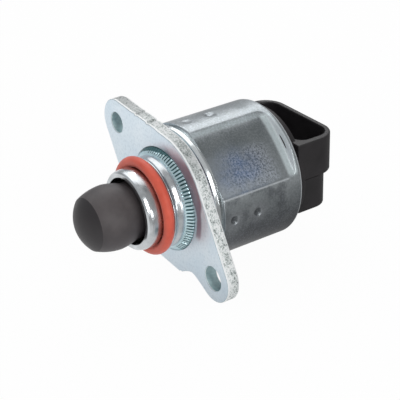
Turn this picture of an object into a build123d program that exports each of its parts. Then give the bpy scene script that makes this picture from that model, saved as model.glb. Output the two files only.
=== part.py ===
from build123d import *
import math
import os

os.makedirs("parts", exist_ok=True)

# Idle air control valve. The valve's axis is Y, with the pintle towards -Y,
# the mounting face of the flange at y = 0, and the connector opening up, +Z.
# All sizes are in millimetres.

# Mounting flange
bolt_pitch = 50.0
ear_turn = 57.0
ear_radius = 6.3
upper_bolt_hole = 5.5
lower_bolt_hole = 6.5
disc_radius = 17.9
flange_thickness = 3.5
recess_radius = 13.65
recess_depth = 1.8
stamp_step = 0.25
stamp_places = (4.6, 9.5)
stamp_lengths = (3.4, 3.9)
cut_line = ((0, 0.05), (5.2, 0.6), (6.8, 1.3), (8.4, 3.6), (9.1, 5.3), (9.5, 5.2), (9.5, 9.0))

# Nose sleeve and its ring
sleeve_reach = 11.2
sleeve_radius = 10.5
sleeve_bore = 8.77
sleeve_lead = 1.5
seat_radius = 10.18
lip_radius = 12.05
lip_width = 0.5
neck_radius = 11.6
collar_radius = 12.5
tooth_count = 88
tooth_radius = 13.45
tooth_height = 1.15
tooth_front = 0.75
tooth_length = 1.6
ring_section = 2.7
ring_place = 6.05

# Pintle, its screw and the spring
pintle_tip = 25.0
pintle_crease_radius = 6.93
pintle_dome = 2.85
pintle_belly_radius = 8.4
pintle_belly = 15.8
pintle_swell = 0.36
pintle_skirt_radius = 7.3
pintle_skirt_top = 11.0
pintle_skirt_end = 4.2
pintle_wall = 1.0
pintle_floor = 7.3
pintle_boss_radius = 3.5
pintle_boss_length = 3.6
extend_travel = 3.0
retract_travel = 5.0
screw_radius = 2.4
screw_flat = 1.8
screw_end = 21.5
screw_depth = 20.0
spring_radius = 5.6
spring_wire = 0.35
spring_turns = 7

# Guide bush and front plate
bush_length = 1.9
bush_neck_radius = 6.15
plate_step = 0.3
plate_thickness = 2.5
plate_edge = 0.8
plate_web = 1.5
plate_ring_bore = 13.6

# Front ball bearing
bearing_radius = 8.0
bearing_bore = 4.0
bearing_width = 4.0
ball_count = 8
ball_radius = 1.15
race_land = 0.7

# Rotor
hub_radius = 5.6
hub_shoulder = 4.9
nut_radius = 4.0
nut_length = 5.0
nut_place = 12.5
magnet_radius = 9.5
magnet_length = 12.5
rear_journal = 3.0
rear_journal_length = 3.0
washer_height = 0.6
rear_bush_radius = 4.6

# Stator
air_gap = 0.4
pole_sheet = 0.8
stack_length = 6.8
stator_gap = 0.15
claw_count = 6
claw_angle = 22.0
spool_wall = 0.6
coil_slack = 0.3

# Can
can_radius = 18.3
can_wall = 0.8
can_corner = 1.0
flat_turn = 45.0
flat_distance = 15.85
flat_front = 0.9
flat_length = 20.6
shoulder_length = 3.2
dimple_turn = -4.5
dimple_radius = 1.25
dimple_depth = 0.55
dimple_places = (3.1, 10.3)

# Connector and cap
boss_radius = 6.6
cap_ring_bore = 10.5
cap_neck_gap = 0.2
shroud_half_width = 14.8
shroud_gap = 1.15
shroud_depth = 13.6
shroud_top = 10.9
shroud_bottom = 0.4
shroud_wall = 1.9
shroud_far_wall = 1.3
shroud_floor = 2.4
shroud_corner = 6.0
cavity_corner = 3.0
tower_inset = 2.6
cap_neck_step = 1.4
tower_bottom = -8.9
pin_width = 1.5
pin_thickness = 0.64
pin_pitch = 5.5
pin_top = 6.0
pin_leg = -7.3
seal_section = 1.1

# Clearances
press_gap = 0.02
running_gap = 0.06

# Radii and places along the axis that follow from the sizes above
plate_radius = can_radius - plate_step
stator_radius = flat_distance - can_wall - stator_gap
cap_neck_radius = can_radius - can_wall - seal_section - cap_neck_gap
can_length = flat_front + flat_length + shoulder_length
plate_back = flange_thickness + plate_thickness
bearing_front = flange_thickness + plate_web
bearing_back = bearing_front + bearing_width
spigot_end = bearing_back + 0.9
can_front = plate_back
can_back = can_front + can_length
can_inner = can_radius - can_wall
flat_inner = flat_distance - can_wall
stator_front = spigot_end + 0.1
stator_middle = stator_front + stack_length
stator_back = stator_middle + stack_length
magnet_front = (stator_front + stator_back - magnet_length) / 2
magnet_back = magnet_front + magnet_length
hub_back = stator_back + 0.2
bush_front = hub_back + washer_height
cap_back = can_back - can_wall - seal_section - 2 * press_gap
disc_front = hub_back + washer_height + rear_journal_length
bore_radius = screw_radius + 0.2
pole_bore = magnet_radius + air_gap
tower_front = can_back + shroud_gap
tower_back = tower_front + shroud_depth - tower_inset
cavity_depth = shroud_depth - shroud_wall - shroud_far_wall
pin_line = tower_front + shroud_wall + cavity_depth / 2


def turned(points):
    with BuildPart() as made:
        with BuildSketch(Plane.XY):
            with BuildLine():
                Polyline(*points, close=True)
            make_face()
        revolve(axis=Axis.Y)
    return made


def across(place):
    return Plane(origin=(0, place, 0), x_dir=(1, 0, 0), z_dir=(0, -1, 0))


def save(made, name):
    made.part.label = name
    export_step(made.part, "parts/" + name + ".step")


# Mounting flange: a disc with two ears, drawn on a plane turned to the ears
turn = math.radians(ear_turn)
flange_plane = Plane(
    origin=(0, 0, 0),
    x_dir=(-math.sin(turn), 0, math.cos(turn)),
    z_dir=(0, 1, 0),
)
slope = math.asin((disc_radius - ear_radius) / (bolt_pitch / 2))


def edge(u):
    return (ear_radius + (bolt_pitch / 2 - u) * math.sin(slope)) / math.cos(slope)


with BuildPart() as mounting_flange:
    with BuildSketch(flange_plane):
        Circle(disc_radius)
        with Locations((bolt_pitch / 2, 0), (-bolt_pitch / 2, 0)):
            Circle(ear_radius)
        make_hull()
        # Two small stamped steps along the upper edge
        for back, length in zip(stamp_places, stamp_lengths):
            start = bolt_pitch / 2 - back
            with BuildLine():
                Polyline(
                    (start + 0.5, edge(start + 0.5) - 1.0),
                    (start, edge(start) + stamp_step),
                    (start - length, edge(start - length) + stamp_step * 0.8),
                    (start - length - 0.3, edge(start - length) - 1.0),
                    close=True,
                )
            make_face()
        for back in stamp_places:
            start = bolt_pitch / 2 - back + 0.5
            with BuildLine():
                Polyline(
                    (start + 0.7, edge(start + 0.7) + stamp_step),
                    (start, edge(start) - stamp_step),
                    (start - 0.3, edge(start - 0.3) + stamp_step * 2),
                    close=True,
                )
            make_face(mode=Mode.SUBTRACT)
        # Stepped cut beside the lower ear
        with BuildLine():
            Polyline(
                (-bolt_pitch / 2 - 2.0, -ear_radius - cut_line[-1][1]),
                (-bolt_pitch / 2 - 2.0, -ear_radius - cut_line[0][1]),
                *[(-bolt_pitch / 2 + along, -ear_radius - out) for along, out in cut_line],
                close=True,
            )
        make_face(mode=Mode.SUBTRACT)
        with Locations((bolt_pitch / 2, 0)):
            Circle(upper_bolt_hole / 2, mode=Mode.SUBTRACT)
        with Locations((-bolt_pitch / 2, 0)):
            Circle(lower_bolt_hole / 2, mode=Mode.SUBTRACT)
        Circle(collar_radius + press_gap, mode=Mode.SUBTRACT)
    extrude(amount=flange_thickness)
    # Recess for the sleeve's toothed collar
    with BuildSketch(flange_plane):
        Circle(recess_radius)
    extrude(amount=recess_depth, mode=Mode.SUBTRACT)
save(mounting_flange, "mounting_flange")

# Nose sleeve: a turned tube that pilots in the bore, with a toothed collar pressed
# into the flange's recess
seat_front = -ring_place - ring_section / 2 - 0.15
seat_back = -ring_place + ring_section / 2 + 0.1
tooth_root = tooth_radius - tooth_height
tooth_line = []
for index in range(tooth_count):
    for share, radius in ((0.0, tooth_root), (0.35, tooth_root), (0.5, tooth_radius), (0.85, tooth_radius)):
        angle = 2 * math.pi * (index + share) / tooth_count
        tooth_line.append((radius * math.cos(angle), radius * math.sin(angle)))
with BuildPart() as nose_sleeve:
    with BuildSketch(Plane.XY):
        with BuildLine():
            Polyline(
                (sleeve_bore, -sleeve_reach),
                (sleeve_radius - 0.75, -sleeve_reach),
                (sleeve_radius - 0.35, -sleeve_reach + 0.45),
                (sleeve_radius, -sleeve_reach + sleeve_lead),
                (sleeve_radius, seat_front),
                (seat_radius, seat_front),
                (seat_radius, seat_back),
                (lip_radius, seat_back),
                (lip_radius, seat_back + lip_width),
                (neck_radius, seat_back + lip_width + 0.5),
                (neck_radius, -tooth_front - 0.6),
                (tooth_root + 0.1, -tooth_front),
                (tooth_root + 0.1, tooth_length - tooth_front),
                (collar_radius, tooth_length - tooth_front),
                (collar_radius, flange_thickness),
                (sleeve_bore, flange_thickness),
                close=True,
            )
        make_face()
    revolve(axis=Axis.Y)
    with BuildSketch(across(-tooth_front)):
        with BuildLine():
            Polyline(*tooth_line, close=True)
        make_face()
        Circle(tooth_root - 0.4, mode=Mode.SUBTRACT)
    extrude(amount=-tooth_length)
save(nose_sleeve, "nose_sleeve")

# Ring that seals the nose in the throttle body
ring_centre = seat_radius + press_gap + ring_section / 2
with BuildPart() as o_ring:
    with BuildSketch(Plane.XY):
        with Locations((ring_centre, -ring_place)):
            Circle(ring_section / 2)
    revolve(axis=Axis.Y)
save(o_ring, "o_ring")

# Pintle: a moulded plug, domed in front of a sharp crease, hollow behind
crease_place = -pintle_tip + pintle_dome
front_swell = (pintle_crease_radius + pintle_belly_radius) / 2 + pintle_swell
rear_swell = (pintle_belly_radius + pintle_skirt_radius) / 2 + pintle_swell / 2
cavity_radius = pintle_skirt_radius - pintle_wall
cavity_floor = -pintle_tip + pintle_floor
with BuildPart() as pintle:
    with BuildSketch(Plane.XY):
        with BuildLine():
            dome_radius = (pintle_crease_radius ** 2 + pintle_dome ** 2) / (2 * pintle_dome)
            half = math.asin(pintle_crease_radius / dome_radius) / 2
            middle = dome_radius * math.sin(half)
            rise = dome_radius * (1 - math.cos(half))
            ThreePointArc(
                (0, -pintle_tip),
                (middle, -pintle_tip + rise),
                (pintle_crease_radius, crease_place),
            )
            ThreePointArc(
                (pintle_crease_radius, crease_place),
                (front_swell, (crease_place - pintle_belly) / 2),
                (pintle_belly_radius, -pintle_belly),
            )
            ThreePointArc(
                (pintle_belly_radius, -pintle_belly),
                (rear_swell, -(pintle_belly + pintle_skirt_top) / 2),
                (pintle_skirt_radius, -pintle_skirt_top),
            )
            Polyline(
                (pintle_skirt_radius, -pintle_skirt_top),
                (pintle_skirt_radius, -pintle_skirt_end),
                (cavity_radius, -pintle_skirt_end),
                (cavity_radius, -pintle_skirt_top),
                (cavity_radius - 0.1, cavity_floor),
                (pintle_boss_radius, cavity_floor),
                (pintle_boss_radius, cavity_floor + pintle_boss_length),
                (screw_radius + press_gap, cavity_floor + pintle_boss_length),
                (screw_radius + press_gap, -screw_depth),
                (0, -screw_depth),
                (0, -pintle_tip),
            )
        make_face()
    revolve(axis=Axis.Y)
save(pintle, "pintle")

# Lead screw, with two flats where it slides through the guide bush
bush_face = flange_thickness - bush_length
flats_front = bush_face - retract_travel - 1.5
flats_back = bearing_front - 0.2 + extend_travel + 1.0
with BuildPart() as lead_screw:
    with BuildSketch(across(-screw_depth)):
        Circle(screw_radius)
    extrude(amount=-(screw_depth + screw_end))
    chamfer(lead_screw.edges().group_by(Axis.Y)[-1], length=0.4)
    with BuildSketch(across(flats_front)):
        for side in (1, -1):
            with Locations((0, side * (screw_flat + screw_radius))):
                Rectangle(screw_radius * 2.2, screw_radius * 2)
    extrude(amount=-(flats_back - flats_front), mode=Mode.SUBTRACT)
save(lead_screw, "lead_screw")

# Guide bush: keeps the screw from turning while it slides
with BuildPart() as guide_bush:
    with BuildSketch(across(bush_face)):
        Circle(sleeve_bore - press_gap)
    extrude(amount=-bush_length)
    with BuildSketch(across(flange_thickness)):
        Circle(bush_neck_radius)
    extrude(amount=-(plate_web - 0.2))
    with BuildSketch(across(bush_face)):
        Circle(screw_radius + running_gap)
        for side in (1, -1):
            with Locations((0, side * (screw_flat + running_gap + screw_radius))):
                Rectangle(screw_radius * 3, screw_radius * 2, mode=Mode.SUBTRACT)
    extrude(amount=-(bush_length + plate_web), mode=Mode.SUBTRACT)
save(guide_bush, "guide_bush")

# Return spring round the screw, between the pintle and the guide bush
spring_start = cavity_floor + spring_wire + 0.05
spring_height = bush_face - 0.05 - spring_wire - spring_start
with BuildPart() as return_spring:
    with BuildLine() as coil_path:
        Helix(
            pitch=spring_height / spring_turns,
            height=spring_height,
            radius=spring_radius,
            center=(0, spring_start, 0),
            direction=(0, 1, 0),
        )
    with BuildSketch(Plane(origin=coil_path.line @ 0, z_dir=coil_path.line % 0)):
        Circle(spring_wire)
    sweep(path=coil_path.line, is_frenet=True)
save(return_spring, "return_spring")

# Front plate: the steel ring between flange and can, which also holds the bearing
seat_wall = 1.4
with BuildPart() as front_plate:
    with BuildSketch(Plane.XY):
        with BuildLine():
            Polyline(
                (bush_neck_radius + press_gap, flange_thickness),
                (plate_radius - plate_edge, flange_thickness),
                (plate_radius, flange_thickness + plate_edge),
                (plate_radius, plate_back),
                (can_inner - press_gap, plate_back),
                (can_inner - press_gap, spigot_end),
                (plate_ring_bore, spigot_end),
                (plate_ring_bore, plate_back),
                (bearing_radius + seat_wall, plate_back),
                (bearing_radius + seat_wall, bearing_back),
                (bearing_radius + press_gap, bearing_back),
                (bearing_radius + press_gap, bearing_front),
                (bush_neck_radius + press_gap, bearing_front),
                close=True,
            )
        make_face()
    revolve(axis=Axis.Y)
    with BuildSketch(across(plate_back)):
        with PolarLocations(flat_inner - press_gap + can_radius / 2, 2, start_angle=flat_turn):
            Rectangle(can_radius, can_radius * 2)
    extrude(amount=-(spigot_end - plate_back), mode=Mode.SUBTRACT)
save(front_plate, "front_plate")

# Front ball bearing
pitch_radius = (bearing_radius + bearing_bore) / 2 - 0.1
groove_radius = ball_radius + running_gap
bearing_middle = bearing_front + bearing_width / 2


def race(inner, outer, groove):
    with BuildPart() as made:
        with BuildSketch(Plane.XY):
            with BuildLine():
                Polyline(
                    (inner, bearing_front),
                    (outer, bearing_front),
                    (outer, bearing_back),
                    (inner, bearing_back),
                    close=True,
                )
            make_face()
            with Locations((pitch_radius, bearing_middle)):
                Circle(groove, mode=Mode.SUBTRACT)
        revolve(axis=Axis.Y)
    return made


bearing_outer_race = race(pitch_radius + race_land, bearing_radius, groove_radius)
save(bearing_outer_race, "bearing_outer_race")
bearing_inner_race = race(bearing_bore, pitch_radius - race_land, groove_radius)
save(bearing_inner_race, "bearing_inner_race")
with BuildPart() as ball_cage:
    with BuildSketch(across(bearing_middle - 0.4)):
        Circle(pitch_radius + 0.4)
        Circle(pitch_radius - 0.4, mode=Mode.SUBTRACT)
    extrude(amount=-0.8)
    with Locations(across(bearing_middle)):
        with PolarLocations(pitch_radius, ball_count):
            Sphere(ball_radius)
save(ball_cage, "ball_cage")

# Rotor: moulded hub with a brass nut inside and a ring magnet round it
rotor_hub = turned([
    (bore_radius, bearing_front + 0.3),
    (bearing_bore - press_gap, bearing_front + 0.3),
    (bearing_bore - press_gap, bearing_back),
    (hub_shoulder, bearing_back),
    (hub_shoulder, magnet_front),
    (hub_radius, magnet_front),
    (hub_radius, hub_back),
    (rear_journal, hub_back),
    (rear_journal, disc_front - 0.4),
    (bore_radius, disc_front - 0.4),
    (bore_radius, nut_place + nut_length + press_gap),
    (nut_radius + press_gap, nut_place + nut_length + press_gap),
    (nut_radius + press_gap, nut_place - press_gap),
    (bore_radius, nut_place - press_gap),
])
save(rotor_hub, "rotor_hub")
thread_insert = turned([
    (screw_radius + running_gap, nut_place),
    (nut_radius, nut_place),
    (nut_radius, nut_place + nut_length),
    (screw_radius + running_gap, nut_place + nut_length),
])
save(thread_insert, "thread_insert")
rotor_magnet = turned([
    (hub_radius + press_gap, magnet_front),
    (magnet_radius - 0.3, magnet_front),
    (magnet_radius, magnet_front + 0.3),
    (magnet_radius, magnet_back - 0.3),
    (magnet_radius - 0.3, magnet_back),
    (hub_radius + press_gap, magnet_back),
])
save(rotor_magnet, "rotor_magnet")

# Preload washer between the hub's rear shoulder and the rear bush
preload_washer = turned([
    (rear_journal + 0.15, hub_back + running_gap),
    (rear_bush_radius, hub_back + running_gap),
    (rear_bush_radius, bush_front),
    (rear_journal + 0.15, bush_front),
])
save(preload_washer, "preload_washer")
rear_bush = turned([
    (rear_journal + running_gap, bush_front),
    (rear_bush_radius, bush_front),
    (rear_bush_radius, disc_front),
    (rear_journal + running_gap, disc_front),
])
save(rear_bush, "rear_bush")


# Stator: two stacks, each a pole cup and a pole plate with a wound spool between
claw_reach = stack_length - 2 * pole_sheet - coil_slack
claw_step = 180 / claw_count
stator_wall = stator_radius - pole_sheet


def pole_piece(sheet, edge_radius, claw_front, turned_by, cup_front=None):
    with BuildPart() as made:
        with BuildSketch(across(sheet)):
            Circle(edge_radius)
            Circle(pole_bore, mode=Mode.SUBTRACT)
        extrude(amount=-pole_sheet)
        if cup_front is not None:
            with BuildSketch(across(cup_front)):
                Circle(stator_radius)
                Circle(stator_wall, mode=Mode.SUBTRACT)
            extrude(amount=-stack_length)
        with BuildSketch(across(claw_front)):
            Circle(pole_bore + pole_sheet)
            Circle(pole_bore, mode=Mode.SUBTRACT)
            far = pole_bore * 2
            for index in range(claw_count):
                middle = index * 360 / claw_count + turned_by
                low = math.radians(middle + claw_angle / 2)
                high = math.radians(middle + 360 / claw_count - claw_angle / 2)
                with BuildLine():
                    Polyline(
                        (0, 0),
                        (far * math.cos(low), far * math.sin(low)),
                        (far * math.cos(high), far * math.sin(high)),
                        close=True,
                    )
                make_face(mode=Mode.SUBTRACT)
        extrude(amount=-(pole_sheet + claw_reach))
    return made


plate_edge_radius = stator_wall - press_gap
claw_length = pole_sheet + claw_reach
front_pole_cup = pole_piece(stator_front, stator_radius, stator_front, 0, stator_front)
save(front_pole_cup, "front_pole_cup")
plate_sheet = stator_middle - pole_sheet
plate_claw = stator_middle - claw_length
front_pole_plate = pole_piece(plate_sheet, plate_edge_radius, plate_claw, claw_step)
save(front_pole_plate, "front_pole_plate")
rear_pole_plate = pole_piece(stator_middle, plate_edge_radius, stator_middle, claw_step * 1.5)
save(rear_pole_plate, "rear_pole_plate")
cup_sheet = stator_back - pole_sheet
cup_claw = stator_back - claw_length
rear_pole_cup = pole_piece(cup_sheet, stator_radius, cup_claw, claw_step / 2, stator_middle)
save(rear_pole_cup, "rear_pole_cup")

spool_bore = pole_bore + pole_sheet + 0.1
spool_edge = stator_wall - 0.15


def spool(front, back):
    return turned([
        (spool_bore, front),
        (spool_edge, front),
        (spool_edge, front + spool_wall),
        (spool_bore + spool_wall, front + spool_wall),
        (spool_bore + spool_wall, back - spool_wall),
        (spool_edge, back - spool_wall),
        (spool_edge, back),
        (spool_bore, back),
    ])


def winding(front, back):
    return turned([
        (spool_bore + spool_wall + press_gap, front + spool_wall + press_gap),
        (spool_edge - 0.2, front + spool_wall + press_gap),
        (spool_edge - 0.2, back - spool_wall - press_gap),
        (spool_bore + spool_wall + press_gap, back - spool_wall - press_gap),
    ])


spool_gap = pole_sheet + press_gap
front_bobbin = spool(stator_front + spool_gap, stator_middle - spool_gap)
save(front_bobbin, "front_bobbin")
rear_bobbin = spool(stator_middle + spool_gap, stator_back - spool_gap)
save(rear_bobbin, "rear_bobbin")
front_coil = winding(stator_front + spool_gap, stator_middle - spool_gap)
save(front_coil, "front_coil")
rear_coil = winding(stator_middle + spool_gap, stator_back - spool_gap)
save(rear_coil, "rear_coil")

# Can: drawn sheet with two pressed flats, small dimples and a turned-in rear edge
lip_bore = cap_neck_radius + press_gap * 5
with BuildPart() as can_hollow:
    with BuildSketch(across(can_front)):
        Circle(can_inner)
    extrude(amount=-(can_length - can_wall))
    with BuildSketch(across(can_front + flat_front - can_wall)):
        with PolarLocations(flat_inner + can_radius / 2, 2, start_angle=flat_turn):
            Rectangle(can_radius, can_radius * 2)
    extrude(amount=-(flat_length + 2 * can_wall), mode=Mode.SUBTRACT)
    with BuildSketch(across(can_back - can_wall)):
        Circle(lip_bore)
    extrude(amount=-can_wall)
with BuildPart() as motor_can:
    with BuildSketch(across(can_front)):
        Circle(can_radius)
    extrude(amount=-can_length)
    fillet(motor_can.edges().group_by(Axis.Y)[-1], radius=can_corner)
    with BuildSketch(across(can_front + flat_front)):
        with PolarLocations(flat_distance + can_radius / 2, 2, start_angle=flat_turn):
            Rectangle(can_radius, can_radius * 2)
    extrude(amount=-flat_length, mode=Mode.SUBTRACT)
    ball_size = (dimple_radius ** 2 + dimple_depth ** 2) / (2 * dimple_depth)
    for place in dimple_places:
        with Locations(across(can_front + place)):
            with PolarLocations(can_radius + ball_size - dimple_depth, 4, start_angle=dimple_turn):
                Sphere(ball_size, mode=Mode.SUBTRACT)
    add(can_hollow.part, mode=Mode.SUBTRACT)
save(motor_can, "motor_can")

# Terminal pins: a blade in the shroud and a leg that runs forward to the coils
pin_back = pin_line + pin_thickness / 2
pin_front = stator_back + 0.3


def pin_outline(grow):
    Polyline(
        (pin_back + grow, pin_top + grow),
        (pin_back + grow, pin_leg - pin_thickness / 2 - grow),
        (pin_front - grow, pin_leg - pin_thickness / 2 - grow),
        (pin_front - grow, pin_leg + pin_thickness / 2 + grow),
        (pin_back - pin_thickness - grow, pin_leg + pin_thickness / 2 + grow),
        (pin_back - pin_thickness - grow, pin_top + grow),
        close=True,
    )


pin_names = ("terminal_pin_a", "terminal_pin_b", "terminal_pin_c", "terminal_pin_d")
pin_places = [pin_pitch * (index - 1.5) for index in range(4)]
for pin_name, pin_place in zip(pin_names, pin_places):
    with BuildPart() as terminal_pin:
        with BuildSketch(Plane.YZ.offset(pin_place)):
            with BuildLine():
                pin_outline(0)
            make_face()
        extrude(amount=pin_width / 2, both=True)
    save(terminal_pin, pin_name)

# Connector cap: one black moulding that fills the can's rear and carries the shroud
neck_back = tower_front + cap_neck_step
with BuildPart() as connector_cap:
    with BuildSketch(Plane.XY):
        with BuildLine():
            Polyline(
                (0, neck_back),
                (0, disc_front + 1.6),
                (rear_journal + 0.3, disc_front + 1.6),
                (rear_journal + 0.3, disc_front + press_gap),
                (rear_bush_radius + press_gap, disc_front + press_gap),
                (rear_bush_radius + press_gap, bush_front + 0.3),
                (boss_radius, bush_front + 0.3),
                (boss_radius, disc_front),
                (cap_ring_bore, disc_front),
                (cap_ring_bore, stator_back + running_gap),
                (stator_radius + press_gap, stator_back + running_gap),
                (stator_radius + press_gap, spigot_end + running_gap),
                (can_inner - press_gap, spigot_end + running_gap),
                (can_inner - press_gap, cap_back),
                (cap_neck_radius, cap_back),
                (cap_neck_radius, neck_back),
                close=True,
            )
        make_face()
    revolve(axis=Axis.Y)
    with BuildSketch(across(spigot_end)):
        with PolarLocations(flat_inner - press_gap + can_radius / 2, 2, start_angle=flat_turn):
            Rectangle(can_radius, can_radius * 2)
    extrude(amount=-(can_front + flat_front + flat_length + can_wall - spigot_end), mode=Mode.SUBTRACT)
    # Tower, then the wider shroud on top of it
    with BuildSketch(Plane.XY.offset(tower_bottom)) as tower:
        with Locations((0, (tower_front + tower_back) / 2)):
            Rectangle(2 * shroud_half_width, tower_back - tower_front)
        fillet(tower.vertices().group_by(Axis.Y)[-1], radius=shroud_corner - tower_inset / 2)
    extrude(amount=shroud_bottom - tower_bottom)
    with BuildSketch(Plane.XY.offset(shroud_bottom)) as shroud:
        with Locations((0, tower_front + shroud_depth / 2)):
            Rectangle(2 * shroud_half_width, shroud_depth)
        fillet(shroud.vertices().group_by(Axis.Y)[-1], radius=shroud_corner)
    extrude(amount=shroud_top - shroud_bottom)
    with BuildSketch(Plane.XY.offset(shroud_floor)) as cavity:
        with Locations((0, pin_line)):
            Rectangle(2 * (shroud_half_width - shroud_wall), cavity_depth)
        fillet(cavity.vertices().group_by(Axis.Y)[-1], radius=shroud_corner - shroud_wall)
        fillet(cavity.vertices().group_by(Axis.Y)[0], radius=cavity_corner)
    extrude(amount=shroud_top - shroud_floor, mode=Mode.SUBTRACT)
    # Slots for the pins
    for pin_place in pin_places:
        with BuildSketch(Plane.YZ.offset(pin_place)):
            with BuildLine():
                pin_outline(press_gap)
            make_face()
        extrude(amount=pin_width / 2 + press_gap, both=True, mode=Mode.SUBTRACT)
save(connector_cap, "connector_cap")

# Seal between cap and can
with BuildPart() as cap_seal:
    with BuildSketch(Plane.XY):
        with Locations((can_inner - press_gap - seal_section / 2, cap_back + press_gap + seal_section / 2)):
            Circle(seal_section / 2)
    revolve(axis=Axis.Y)
save(cap_seal, "cap_seal")
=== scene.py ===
import math
import bpy
import bmesh
from mathutils import Matrix, Vector, noise


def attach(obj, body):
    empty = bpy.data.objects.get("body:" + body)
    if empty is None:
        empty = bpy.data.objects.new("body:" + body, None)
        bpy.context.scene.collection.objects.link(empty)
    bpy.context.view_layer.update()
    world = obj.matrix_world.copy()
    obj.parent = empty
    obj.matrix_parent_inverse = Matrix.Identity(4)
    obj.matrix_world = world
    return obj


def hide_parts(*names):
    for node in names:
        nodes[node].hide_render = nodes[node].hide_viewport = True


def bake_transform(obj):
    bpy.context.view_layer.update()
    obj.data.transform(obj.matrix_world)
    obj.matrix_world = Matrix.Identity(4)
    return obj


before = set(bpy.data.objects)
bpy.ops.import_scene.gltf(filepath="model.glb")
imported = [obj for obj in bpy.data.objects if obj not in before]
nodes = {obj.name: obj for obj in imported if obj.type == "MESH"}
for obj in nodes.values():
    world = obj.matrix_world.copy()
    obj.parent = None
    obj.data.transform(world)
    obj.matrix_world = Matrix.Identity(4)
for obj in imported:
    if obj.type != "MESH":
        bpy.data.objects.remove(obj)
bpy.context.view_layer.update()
scene = bpy.context.scene

MM = 0.001
QUARTER = math.pi / 2

# Sizes in millimetres
EAR_TURN = math.radians(57.0)
HALF_PITCH = 25.0
EAR_R = 6.3
DISC_R = 17.9
PLATE_T = 3.5
UPPER_HOLE_R = 2.75
LOWER_HOLE_R = 3.25
STAKED_R = 13.65
SLEEVE_R = 8.77
SLEEVE_FRONT = -11.2
SEAT_R = 10.2
RING_R = 1.35
RING_Y = -6.05
TIP_Y = -25.0
CREASE = (6.93, -22.15)
CAN_R = 18.3
CAN_WALL = 0.8
CAN_FRONT = 6.0
CAN_BACK = 30.7
FLAT_TURNS = (math.radians(45.0), math.radians(225.0))
FLAT_D = 15.85
LIP_R = 16.3
DIMPLE_ROWS = (9.1, 16.3)
DIMPLE_TURN = -4.5
PIN_PITCH = 5.5


# ---- Shader helpers ----

def node_tree(name):
    mat = bpy.data.materials.new(name)
    mat.use_nodes = True
    nt = mat.node_tree
    return mat, nt, nt.nodes["Principled BSDF"]


def put(nt, socket, value):
    """Sets a number or colour on the socket, and links anything else to it."""
    if isinstance(value, (int, float)):
        socket.default_value = value
    elif isinstance(value, tuple):
        socket.default_value = (*value, 1.0)
    else:
        nt.links.new(value, socket)


def add(nt, kind, values):
    n = nt.nodes.new(kind)
    for key, value in values.items():
        n.inputs[key].default_value = value
    return n


def coords(nt):
    return nt.nodes.new("ShaderNodeTexCoord").outputs["Object"]


def noise_tex(nt, vector, scale, detail=3.0, rough=0.55):
    n = add(nt, "ShaderNodeTexNoise", {"Scale": scale, "Detail": detail, "Roughness": rough})
    nt.links.new(vector, n.inputs["Vector"])
    return n.outputs["Fac"]


def ramp(nt, fac, stops):
    n = nt.nodes.new("ShaderNodeValToRGB")
    while len(n.color_ramp.elements) < len(stops):
        n.color_ramp.elements.new(0.5)
    for e, (pos, colour) in zip(n.color_ramp.elements, stops):
        e.position = pos
        e.color = (*colour, 1.0)
    nt.links.new(fac, n.inputs["Fac"])
    return n.outputs["Color"]


def math_node(nt, op, a, b=None, c=None):
    n = nt.nodes.new("ShaderNodeMath")
    n.operation = op
    for socket, value in zip(n.inputs, (a, b, c)):
        if value is not None:
            put(nt, socket, value)
    return n.outputs["Value"]


def product(nt, first, *others):
    for value in others:
        first = math_node(nt, "MULTIPLY", first, value)
    return first


def highest(nt, first, *others):
    for value in others:
        first = math_node(nt, "MAXIMUM", first, value)
    return first


def weighted(nt, a, share_a, b, share_b):
    return math_node(nt, "MULTIPLY_ADD", a, share_a, math_node(nt, "MULTIPLY", b, share_b))


def mix(nt, fac, a, b, blend="MIX"):
    n = nt.nodes.new("ShaderNodeMix")
    n.data_type = "RGBA"
    n.blend_type = blend
    n.clamp_factor = True
    factor_in, a_in, b_in = (n.inputs[i] for i in (0, 6, 7))
    put(nt, factor_in, fac)
    put(nt, a_in, a)
    put(nt, b_in, b)
    return n.outputs[2]


def separate(nt, vector):
    n = nt.nodes.new("ShaderNodeSeparateXYZ")
    nt.links.new(vector, n.inputs[0])
    return n.outputs


def normals(nt):
    return separate(nt, nt.nodes.new("ShaderNodeNewGeometry").outputs["Normal"])


def vector_node(nt, op, vector, fixed):
    n = nt.nodes.new("ShaderNodeVectorMath")
    n.operation = op
    nt.links.new(vector, n.inputs[0])
    n.inputs[1].default_value = fixed
    return n.outputs["Value"]


def length2(nt, a, b):
    return math_node(nt, "SQRT", math_node(nt, "MULTIPLY_ADD", a, a, math_node(nt, "MULTIPLY", b, b)))


def offset(nt, value, centre):
    """Distance of a coordinate from a fixed place, either way."""
    return math_node(nt, "ABSOLUTE", math_node(nt, "SUBTRACT", value, centre))


def span_value(nt, fac, low, high, out_low, out_high, interpolation="LINEAR"):
    n = add(nt, "ShaderNodeMapRange",
            {"From Min": low, "From Max": high, "To Min": out_low, "To Max": out_high})
    n.interpolation_type = interpolation
    nt.links.new(fac, n.inputs["Value"])
    return n.outputs["Result"]


def rising(nt, value, low, high):
    return span_value(nt, value, low, high, 0.0, 1.0, "SMOOTHSTEP")


def falling(nt, value, low, high):
    return math_node(nt, "SUBTRACT", 1.0, rising(nt, value, low, high))


def surface(nt, bsdf, base, rough, height, strength, depth, metallic=0.0):
    """Wires colour, roughness, metal and bump to the shader."""
    put(nt, bsdf.inputs["Base Color"], base)
    put(nt, bsdf.inputs["Roughness"], rough)
    put(nt, bsdf.inputs["Metallic"], metallic)
    n = add(nt, "ShaderNodeBump", {"Strength": strength, "Distance": depth})
    nt.links.new(height, n.inputs["Height"])
    nt.links.new(n.outputs["Normal"], bsdf.inputs["Normal"])


# ---- Materials; their lengths are in metres, in the frame's axes ----

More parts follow.
